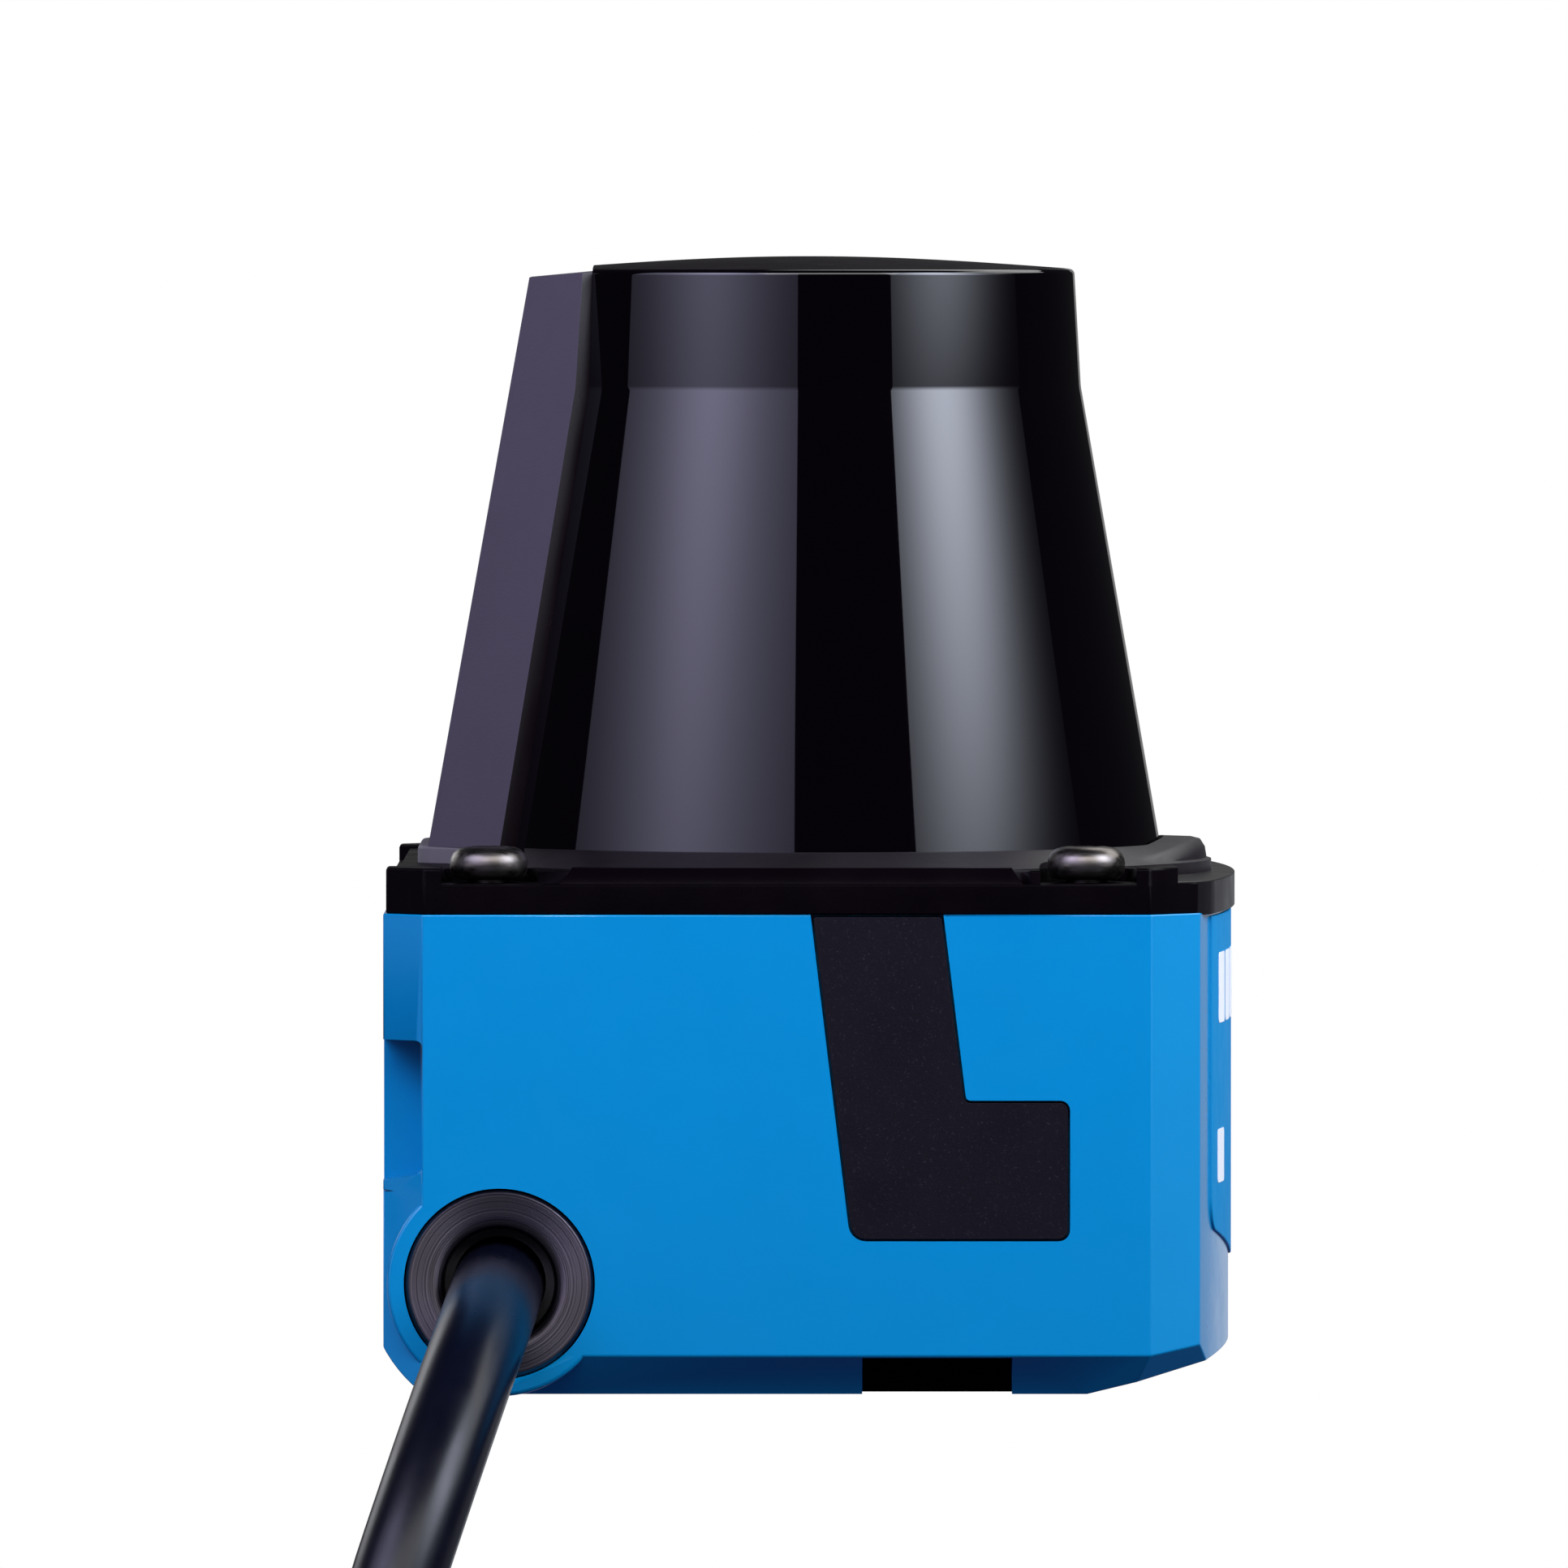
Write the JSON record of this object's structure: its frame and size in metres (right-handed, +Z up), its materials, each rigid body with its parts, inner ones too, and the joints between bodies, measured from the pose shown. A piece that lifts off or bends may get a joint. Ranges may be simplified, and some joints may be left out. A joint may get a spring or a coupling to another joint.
{
  "type": "laser scanner",
  "caption": "Compact industrial laser scanner with a spinning mirror under a tapered infrared window, a port cover and a cable with a round plug.",
  "frame": {"origin": "centre of the base plane, between the two base fixing holes", "axes": "+Z up along the scan axis, +X to the front, where the scan fan points; the cable and the port cover are on the -Y side"},
  "size_m": [0.0886, 0.108, 0.2045],
  "materials": {
    "aluminium": "machined",
    "black_anodised": "black anodised",
    "black_gloss": "gloss black, infrared-passing",
    "black_matte": "matte black",
    "blue_gloss": "gloss blue",
    "blue_satin": "satin blue label panel",
    "board_green": "printed circuit board",
    "brass": "turned",
    "cable_jacket": "satin black",
    "chip_black": "moulded",
    "chrome": "nickel plated",
    "copper": "copper winding",
    "flex_amber": "flexible circuit",
    "gold_pins": "gold plated",
    "magnet": "sintered",
    "mirror": "front surface",
    "optical_glass": "coated",
    "rubber_black": "matte black",
    "screw_steel": "satin",
    "steel": "plain"
  },
  "bodies": {
    "housing": {"lower_housing": "blue_gloss", "front_label_panel": "blue_satin", "threaded_inserts": "brass", "cable_gland": "black_matte", "gland_seal": "rubber_black", "gland_nut": "steel", "usb_socket": "steel", "main_board": "board_green", "board_components": "chip_black", "board_spacers": "brass", "board_screws": "steel", "lead_connector": "chip_black", "hood_frame": "black_matte", "scan_window": "black_gloss", "hood_gasket": "rubber_black", "hood_screws": "screw_steel", "optics_chassis": "aluminium", "chassis_screws": "steel", "motor_stator": "steel", "stator_coils": "copper", "bearing_outer_rings": "steel", "encoder_sensor": "chip_black", "receiver_holder": "black_anodised", "receiver_lens": "optical_glass", "laser_module": "brass", "collimator_lens": "optical_glass", "receiver_board": "board_green", "photodiode": "chip_black", "ribbon_cable": "flex_amber", "cable": "cable_jacket", "cable_coil": "cable_jacket", "cable_tail": "cable_jacket", "coil_tie": "rubber_black", "plug_strain_relief": "rubber_black", "plug_body": "black_matte", "plug_insert": "chip_black", "plug_pins": "gold_pins"},
    "rotor": {"rotor_hub": "aluminium", "bearing_inner_rings": "steel", "magnet_ring": "magnet", "encoder_disc": "steel", "mirror_carrier": "black_anodised", "receiving_mirror": "mirror", "emitter_mirror": "mirror", "balance_weight": "brass", "rotor_screws": "steel"},
    "cover": {"port_cover": "rubber_black"},
    "plug_nut": {"coupling_nut": "chrome"}
  },
  "joints": [
    {"name": "mirror_spin", "type": "hinge", "parent": "housing", "child": "rotor", "pos_m": [0, 0, 0.044], "axis": [0, 0, 1], "continuous": true},
    {"name": "cover_pull", "type": "slide", "parent": "housing", "child": "cover", "axis": [0, -1, 0], "range_m": [0, 0.012]},
    {"name": "nut_turn", "type": "hinge", "parent": "housing", "child": "plug_nut", "pos_m": [-0.033, -0.07075, -0.117], "axis": [0, 0, -1], "continuous": true}
  ]
}
